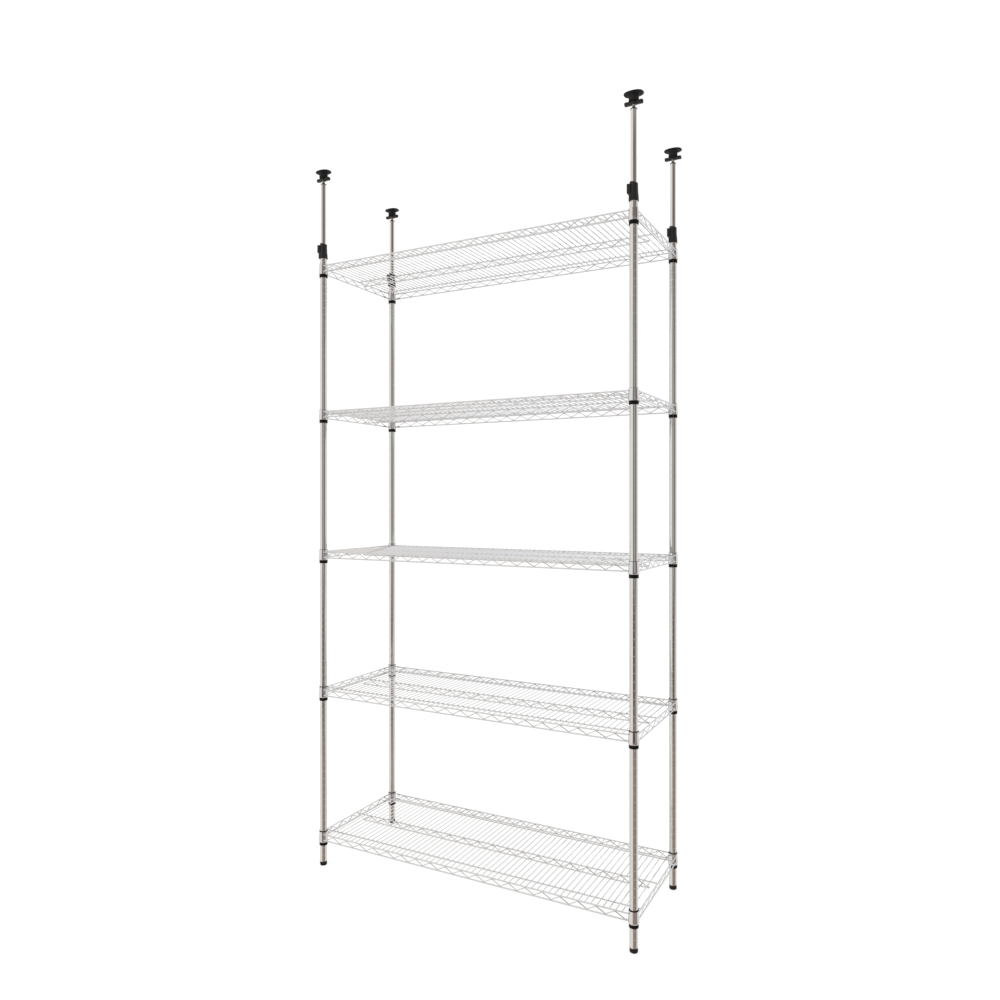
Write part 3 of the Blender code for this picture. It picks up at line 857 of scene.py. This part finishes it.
@dataclass
class ClampLever:
    """The clamp's lever: a block that hugs the cap, with a boss on a pin between the cap's ears."""

    nylon: Dress
    zinc: Dress
    cap: ClampCap
    front: float = 16.2 * MM
    nose: float = 4.0 * MM
    heel: float = 4.0 * MM
    bevel: float = 0.6 * MM
    hug: float = 13.25 * MM
    lip: float = 2.6 * MM
    hug_from: float = math.radians(247)
    hug_to: float = math.radians(169)
    block: float = 26.7 * MM
    block_edge: float = 0.7 * MM
    boss_radius: float = 2.6 * MM
    boss_low: float = 5.3 * MM
    boss_high: float = 22.7 * MM
    boss_edge: float = 0.3 * MM
    neck: float = 7.0 * MM
    neck_share: float = 1 / 6
    # The pin with its head: radii and heights in millimetres from the lever's underside.
    pin: Drawing = (
        (0.7, 0.2), (1.4, 0.5), (1.4, 28.0), (2.1, 28.0), (2.1, 28.5), (1.68, 28.9), (0.84, 29.0),
    )

    def block_outline(self) -> list[Point]:
        """Draw the block in plan about the pin: flat outside, round nose, hollow against the cap.

        Returns:
            Points in plan, anticlockwise.
        """
        outside, back = self.cap.pin_x - self.cap.ear_radius, self.cap.pin_y - self.heel
        nose_at = (outside + self.nose, self.nose - self.front)
        outline = [(outside + self.bevel, back), (outside, back - self.bevel)]
        outline += arc(nose_at, self.nose, math.pi, RIGHT_ANGLE, steps=6)
        outline.append(polar(self.hug + self.lip, self.hug_from))
        outline += arc(ORIGIN, self.hug, self.hug_from, self.hug_to - self.hug_from, steps=12)
        return [(x - self.cap.pin_x, y - self.cap.pin_y) for x, y in outline]

    def build(self) -> None:
        """Make the four levers and their pins, drawn about the pin's axis."""
        boss = arc(ORIGIN, self.boss_radius, 0, math.pi, steps=12)
        boss += [(-self.boss_radius, -self.neck), (self.boss_radius * self.neck_share, -self.neck)]
        shape = Shape()
        shape.slab(self.block_outline(), 0, self.block, self.block_edge)
        shape.slab(boss, self.boss_low, self.boss_high, self.boss_edge)
        block_mesh = shape.mesh("lever_block", self.nylon)
        pin = Shape()
        pin.turn(metres(self.pin), segments=20)
        pin_mesh = pin.mesh("lever_pin", self.zinc)
        for tag, axis in CORNERS.items():
            at = axis + Vector((self.cap.pin_x, self.cap.pin_y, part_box(f"clamp_lever_{tag}")[0].z))
            put("lever_block", tag, block_mesh, self.nylon, f"lever_{tag}", at, "clamp_lever")
            put("lever_pin", tag, pin_mesh, self.zinc, f"lever_{tag}", at)


@dataclass
class BraceTube:
    """The sliding chrome tube, and the flanged nylon plug in its upper end that the screw goes through."""

    chrome: Dress
    nylon: Dress
    raised: float = 2.0 * MM
    # Radii and heights in millimetres: the tube's lower end about its foot, the rest about the plug's tip.
    tube_foot: Drawing = ((8.3, 0), (9.1, 0), (9.5, 0.4))
    tube_head: Drawing = ((9.5, -6.3), (9.38, -5.7), (9.1, -5.5), (8.3, -5.5))
    plug: Drawing = (
        (5.15, -33.0), (7.8, -33.0), (8.2, -32.6), (8.2, -5.5), (9.9, -5.5), (10.3, -5.1), (10.3, -3.6),
        (10.1, -3.2), (9.7, -3.0), (6.4, -3.0), (6.0, -2.6), (6.0, -0.4), (5.6, 0), (5.15, 0),
    )
    segments: int = 36

    def build(self) -> None:
        """Make the four tubes and plugs, with heights from the plug's upper tip."""
        low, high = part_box("tension_tube_fl")
        tip = high.z + self.raised
        wall = [(radius, low.z - tip + height) for radius, height in metres(self.tube_foot)]
        tube = Shape()
        tube.turn(wall + metres(self.tube_head), self.segments, joined=True)
        tube_mesh = tube.mesh("brace_tube", self.chrome)
        plug = Shape()
        plug.turn(metres(self.plug), self.segments, joined=True)
        plug_mesh = plug.mesh("tube_plug", self.nylon)
        for tag, axis in CORNERS.items():
            at = axis + UP * tip
            put("brace_tube", tag, tube_mesh, self.chrome, f"tube_{tag}", at, "tension_tube")
            put("tube_plug", tag, plug_mesh, self.nylon, f"tube_{tag}", at)


@dataclass
class JackScrew:
    """The zinc screw that presses the pad to the ceiling, with the bar that turns it."""

    zinc: Dress
    nylon: Dress
    radius: float = 5.0 * MM
    pitch: float = 1.5 * MM
    depth: float = 0.8 * MM
    bar_length: float = 28.0 * MM
    bar_width: float = 6.0 * MM
    bar_corner: float = 2.6 * MM
    boss_radius: float = 9.0 * MM
    fillet: float = 3.0 * MM
    drop: float = 1.5 * MM
    edge: float = 1.3 * MM

    def bar_outline(self) -> list[Point]:
        """Draw the bar in plan: two arms with round corners that run into a round boss.

        Returns:
            Points in plan, anticlockwise.
        """
        reach, corner = self.bar_length - self.bar_corner, self.bar_corner
        half, sweep = self.bar_width - corner, RIGHT_ANGLE * 2 / 3
        arm = arc((reach, -half), corner, -RIGHT_ANGLE, sweep, steps=2) + [(self.bar_length, 0.0)]
        arm += arc((reach, half), corner, RIGHT_ANGLE - sweep, sweep, steps=2)
        tilt = math.asin((self.bar_width + self.fillet) / (self.boss_radius + self.fillet))
        x, y = polar(self.boss_radius + self.fillet, tilt)
        arm += arc((x, y), self.fillet, -RIGHT_ANGLE, tilt - RIGHT_ANGLE, steps=4)
        arm += arc(ORIGIN, self.boss_radius, tilt, math.pi - 2 * tilt, steps=8)[1:-1]
        arm += arc((-x, y), self.fillet, -tilt, tilt - RIGHT_ANGLE, steps=4)
        return arm + [(-x, -y) for x, y in arm]

    def build(self) -> None:
        """Make the four screws and bars."""
        low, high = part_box("jack_screw_fl")
        screw = Shape()
        screw.thread(self.radius, self.pitch, self.depth, 0, high.z - low.z)
        screw_mesh = screw.mesh("screw_thread", self.zinc, THREAD_CREASE)
        bar_low, bar_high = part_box("jack_handle_fl")
        bar = Shape()
        bar.slab(self.bar_outline(), -self.drop, bar_high.z - bar_low.z, self.edge)
        bar_mesh = bar.mesh("cross_bar", self.nylon)
        for tag, axis in CORNERS.items():
            body = f"screw_{tag}"
            put("screw_thread", tag, screw_mesh, self.zinc, body, axis + UP * low.z, "jack_screw")
            put("cross_bar", tag, bar_mesh, self.nylon, body, axis + UP * bar_low.z, "jack_handle")


@dataclass
class CeilingPad:
    """The rubber pad that takes the ceiling: a round hub under an oval plate with a full round edge."""

    dress: Dress
    hub_radius: float = 15.0 * MM
    reach_x: float = 29.9 * MM
    reach_y: float = 21.5 * MM
    fullness: float = 0.16
    # Up the side: growth beyond the hub's radius in millimetres, share of the way out to the plate's oval
    # edge, and height in millimetres.
    side: tuple[Row, ...] = (
        (-9.8, 0, 0), (-0.9, 0, 0), (-0.3, 0, 0.25), (0, 0, 0.9), (0, 0, 16.0), (0, 0.03, 18.15),
        (0, 0.12, 19.06), (0, 0.3, 19.58), (0, 0.6, 19.944), (0, 0.85, 20.1),
    )
    rim_radius: float = 1.7 * MM
    rim_height: float = 21.8 * MM
    crown: Row = (-4.0, 0.9, 23.2)
    segments: int = 48

    def rows(self) -> list[Row]:
        """Draw the pad's side.

        Returns:
            Growth beyond the hub's radius, share of the way out to the oval edge, and height.
        """
        rim = arc((-self.rim_radius, self.rim_height), self.rim_radius, -RIGHT_ANGLE, math.pi, steps=6)
        flank, crown = ([(grow * MM, share, height * MM) for grow, share, height in rows]
                        for rows in (self.side, (self.crown,)))
        return flank + [(grow, 1.0, height) for grow, height in rim] + crown

    def build(self) -> None:
        """Make the four pads, with heights from the hub's underside."""
        shape = Shape()
        rings = []
        for grow, share, height in self.rows():
            reach_x, reach_y = (self.hub_radius + grow + share * (reach - self.hub_radius)
                                for reach in (self.reach_x, self.reach_y))
            power = 1 - self.fullness * share
            rings.append([Vector((reach_x * math.copysign(abs(x) ** power, x),
                                  reach_y * math.copysign(abs(y) ** power, y), height))
                          for x, y in (polar(1, angle) for angle in all_round(self.segments))])
        shape.skin(rings)
        mesh = shape.mesh("pad_plate", self.dress)
        for tag, axis in CORNERS.items():
            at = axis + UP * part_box(f"ceiling_pad_{tag}")[0].z
            put("pad_plate", tag, mesh, self.dress, f"pad_{tag}", at, "ceiling_pad")


@dataclass
class Studio:
    """A white studio: a light table for a floor, even light, and screens that only glossy pieces mirror.

    The screens are pale all round, brown on the camera's side and grey in a narrow gap behind.
    """

    camera_at: Row = (1.3047, -2.4038, 1.320)
    camera_turn: float = 27.953
    lens: float = 28.05
    sensor: float = 36.0
    sight: float = 500.0
    floor_reach: float = 60.0
    floor_drop: float = 0.2 * MM
    table: str = "#868685"
    table_cloud: str = "#828281"
    cloud_scale: float = 2.0
    cloud_detail: float = 3.0
    table_roughness: float = 0.95
    table_glow: float = 0.8
    key_size: float = 3.0
    key_power: float = 60.0
    key_at: Row = (-2.6, -3.0, 4.0)
    key_aim: Row = (0.0, 0.0, 1.3)
    # Colours by compass angle in degrees: at eye level, a little below it, on a slope down, on a slope up
    # and high up.
    level_screens: Stops = (
        (-180, "#fdfcfb"), (-95.5, "#fdfbfa"), (-93, "#736b67"), (-78, "#807974"), (-62, "#bcb6b1"),
        (-48, "#bdb7b2"), (-28, "#908984"), (-8, "#78716d"), (4.5, "#77706b"), (7, "#fbf9f8"),
        (52, "#fdfcfb"), (66, "#f4f5f6"), (132, "#f4f5f6"), (136, "#96928f"), (152, "#8d8986"),
        (156, "#fdfcfb"), (180, "#fdfcfb"),
    )
    low_screens: Stops = (
        (-180, "#fdfaf8"), (-95.5, "#fdfaf8"), (-93, "#6e645e"), (-52, "#5d534d"), (-36, "#b3a8a1"),
        (4.5, "#aea39c"), (7, "#fcf8f5"), (52, "#fdfaf8"), (66, "#f6f7f8"), (132, "#f6f7f8"),
        (136, "#9f9792"), (152, "#968e89"), (156, "#fdfaf8"), (180, "#fdfaf8"),
    )
    falling_screens: Stops = (
        (-180, "#fdf9f6"), (-95.5, "#fdf9f6"), (-93, "#a8988f"), (-60, "#a6948a"), (-46, "#a48f84"),
        (-8, "#a08f86"), (4.5, "#9c8b83"), (7, "#fbf6f2"), (52, "#fdf9f6"), (66, "#f8f9fa"),
        (132, "#f8f9fa"), (136, "#a89c95"), (152, "#a0948d"), (156, "#fdf9f6"), (180, "#fdf9f6"),
    )
    rising_screens: Stops = (
        (-180, "#fdfaf8"), (-95.5, "#fdfaf8"), (-93, "#948c88"), (-60, "#958c88"), (-46, "#948a86"),
        (-8, "#857d79"), (4.5, "#827a76"), (7, "#fbf8f6"), (52, "#fdfaf8"), (66, "#f8f9fa"),
        (132, "#f8f9fa"), (136, "#a39b97"), (152, "#9b938f"), (156, "#fdfaf8"), (180, "#fdfaf8"),
    )
    steep_screens: Stops = (
        (-180, "#fdf9f6"), (-102, "#fdf9f6"), (-99.5, "#918882"), (-46, "#857b75"), (12, "#7f756e"),
        (14.5, "#fbf6f2"), (180, "#fdf9f6"),
    )
    zenith: str = "#fbfbfa"
    nadir: str = "#e6e4e2"
    # Slopes between which one set of screens gives way to the next, and the low screens' share over slopes.
    falling: Point = (-0.14, -0.32)
    rising: Point = (0.14, 0.32)
    steep: Point = (0.36, 0.4)
    overhead: Point = (0.55, 0.85)
    underfoot: Point = (-0.5, -0.8)
    low_share: Stops = ((-0.31, "#000000"), (-0.24, WHITE), (-0.15, WHITE), (-0.09, "#000000"))
    brightness: float = 1.04

    def build_floor(self) -> None:
        """Lay the floor: a light table, which hides most shadows and isn't mirrored."""
        material = bpy.data.materials.new("opal_acrylic_lit_from_below")
        tree = blank_tree(material)
        place = add_node(tree, "ShaderNodeTexCoord").outputs["Object"]
        cloud = add_node(tree, "ShaderNodeTexNoise",
                         {"Vector": place, "Scale": self.cloud_scale, "Detail": self.cloud_detail})
        tint = blend(tree, cloud.outputs[0], linear(self.table), linear(self.table_cloud))
        add_surface(tree, {
            "Base Color": tint, "Roughness": self.table_roughness, "Specular IOR Level": 0.0,
            "Emission Color": linear(WHITE), "Emission Strength": self.table_glow})
        reach = self.floor_reach
        mesh = bpy.data.meshes.new("studio_floor")
        corners = [(-reach, -reach, 0), (reach, -reach, 0), (reach, reach, 0), (-reach, reach, 0)]
        mesh.from_pydata(corners, [], [(0, 1, 2, 3)])
        mesh.materials.append(material)
        floor = bpy.data.objects.new("studio_floor", mesh)
        floor.location.z = -self.floor_drop
        floor.visible_glossy = False
        bpy.context.scene.collection.objects.link(floor)

    def mirrored(self, tree: Tree) -> Socket:
        """Hang the screens.

        Args:
            tree: The world's node tree.

        Returns:
            Socket with the colour that the metal mirrors from each direction.
        """
        way = add_node(tree, "ShaderNodeTexCoord").outputs["Generated"]
        axes = add_node(tree, "ShaderNodeSeparateXYZ", {0: way})
        slope = axes.outputs["Z"]

        def share(value: Socket, low: float, high: float) -> Socket:
            """Share of the way between two values."""
            return add_node(tree, "ShaderNodeMapRange",
                            {"Value": value, "From Min": low, "From Max": high}).outputs[0]

        def ramp(value: Socket, low: float, high: float, stops: Stops) -> Socket:
            """Colour at the place of a value between two others."""
            return add_node(tree, "ShaderNodeValToRGB", {0: share(value, low, high)},
                            [((place - low) / (high - low), code) for place, code in stops]).outputs[0]

        turn = add_node(tree, "ShaderNodeMath", {0: axes.outputs["Y"], 1: axes.outputs["X"]},
                        operation="ARCTAN2").outputs[0]
        compass = add_node(tree, "ShaderNodeMath", {0: turn}, operation="DEGREES").outputs[0]
        colour, low, falling, rising, steep = (
            ramp(compass, -180, 180, screens) for screens in (
                self.level_screens, self.low_screens, self.falling_screens, self.rising_screens,
                self.steep_screens))
        for part, screen in (
            (share(slope, *self.falling), falling), (share(slope, *self.rising), rising),
            (share(slope, *self.steep), steep), (ramp(slope, -1, 1, self.low_share), low),
            (share(slope, *self.overhead), linear(self.zenith)),
            (share(slope, *self.underfoot), linear(self.nadir)),
        ):
            colour = blend(tree, part, colour, screen)
        return colour

    def build_sky(self) -> None:
        """Light the studio evenly with white, and let the metal mirror the screens."""
        world = bpy.data.worlds.new("studio_screens")
        bpy.context.scene.world = world
        tree = blank_tree(world)
        plain, screens = (add_node(tree, "ShaderNodeBackground", inputs).outputs[0] for inputs in (
            {"Color": linear(WHITE), "Strength": self.brightness}, {"Color": self.mirrored(tree)}))
        glossy = add_node(tree, "ShaderNodeLightPath").outputs["Is Glossy Ray"]
        light = add_node(tree, "ShaderNodeMixShader", {0: glossy, 1: plain, 2: screens})
        add_node(tree, "ShaderNodeOutputWorld", {"Surface": light.outputs[0]})

    def build_key(self) -> None:
        """Hang one large soft lamp to the left of the camera, for gentle shading on the black pieces."""
        lamp = bpy.data.lights.new("soft_key", "AREA")
        lamp.size = self.key_size
        lamp.energy = self.key_power
        key = bpy.data.objects.new("soft_key", lamp)
        key.location = self.key_at
        key.rotation_euler = (Vector(self.key_aim) - key.location).to_track_quat("-Z", "Y").to_euler()
        key.visible_glossy = False
        bpy.context.scene.collection.objects.link(key)

    def build_camera(self) -> None:
        """Set up the level camera."""
        lens = bpy.data.cameras.new("studio_camera")
        lens.lens = self.lens
        lens.sensor_width = self.sensor
        lens.clip_end = self.sight
        camera = bpy.data.objects.new("studio_camera", lens)
        camera.location = self.camera_at
        camera.rotation_euler = (RIGHT_ANGLE, 0, math.radians(self.camera_turn))
        bpy.context.scene.collection.objects.link(camera)
        bpy.context.scene.camera = camera

    def build(self) -> None:
        """Set up floor, light and camera, with colours shown as they are."""
        self.build_floor()
        self.build_sky()
        self.build_key()
        self.build_camera()
        bpy.context.scene.view_settings.view_transform = "Standard"


def main() -> None:
    """Build the studio and the unit."""
    logging.basicConfig(level=logging.INFO, format="%(name)s: %(message)s")
    tube_chrome = ChromePlate("chromium_plated_drawn_steel_tube", grain=Grain.ALONG_TUBE).build()
    wire_chrome = ChromePlate("chromium_plated_drawn_steel_wire", colours=("#dededf", "#d4d4d5")).build()
    zinc = ZincPlate().build()
    nylon = BlackMoulding(
        "nylon_moulded_with_fine_grain", Slot.NYLON, ("#161513", "#201e1c"), (0.42, 0.58)).build()
    # The sleeves get a darker, smoother copy of the moulded nylon: its darker colour is painted shade.
    sleeve_nylon = BlackMoulding(
        "nylon_moulded_smooth_with_painted_shade", Slot.NYLON, ("#0c0c0b", "#131211"), (0.36, 0.5), specular=0.1).build()
    rubber = BlackMoulding(
        "rubber_moulded_dull", Slot.RUBBER, ("#111110", "#191817"), (0.55, 0.75), ior=1.52,
        specular=0.25).build()
    cap = ClampCap(nylon)
    for assembly in (
        Studio(), GroovedPost(tube_chrome), SplitSleeve(sleeve_nylon), WireShelf(wire_chrome),
        LevellingFoot(rubber, zinc), cap, ClampLever(nylon, zinc, cap), BraceTube(tube_chrome, nylon),
        JackScrew(zinc, nylon), CeilingPad(rubber),
    ):
        assembly.build()


if __name__ == "__main__":
    main()
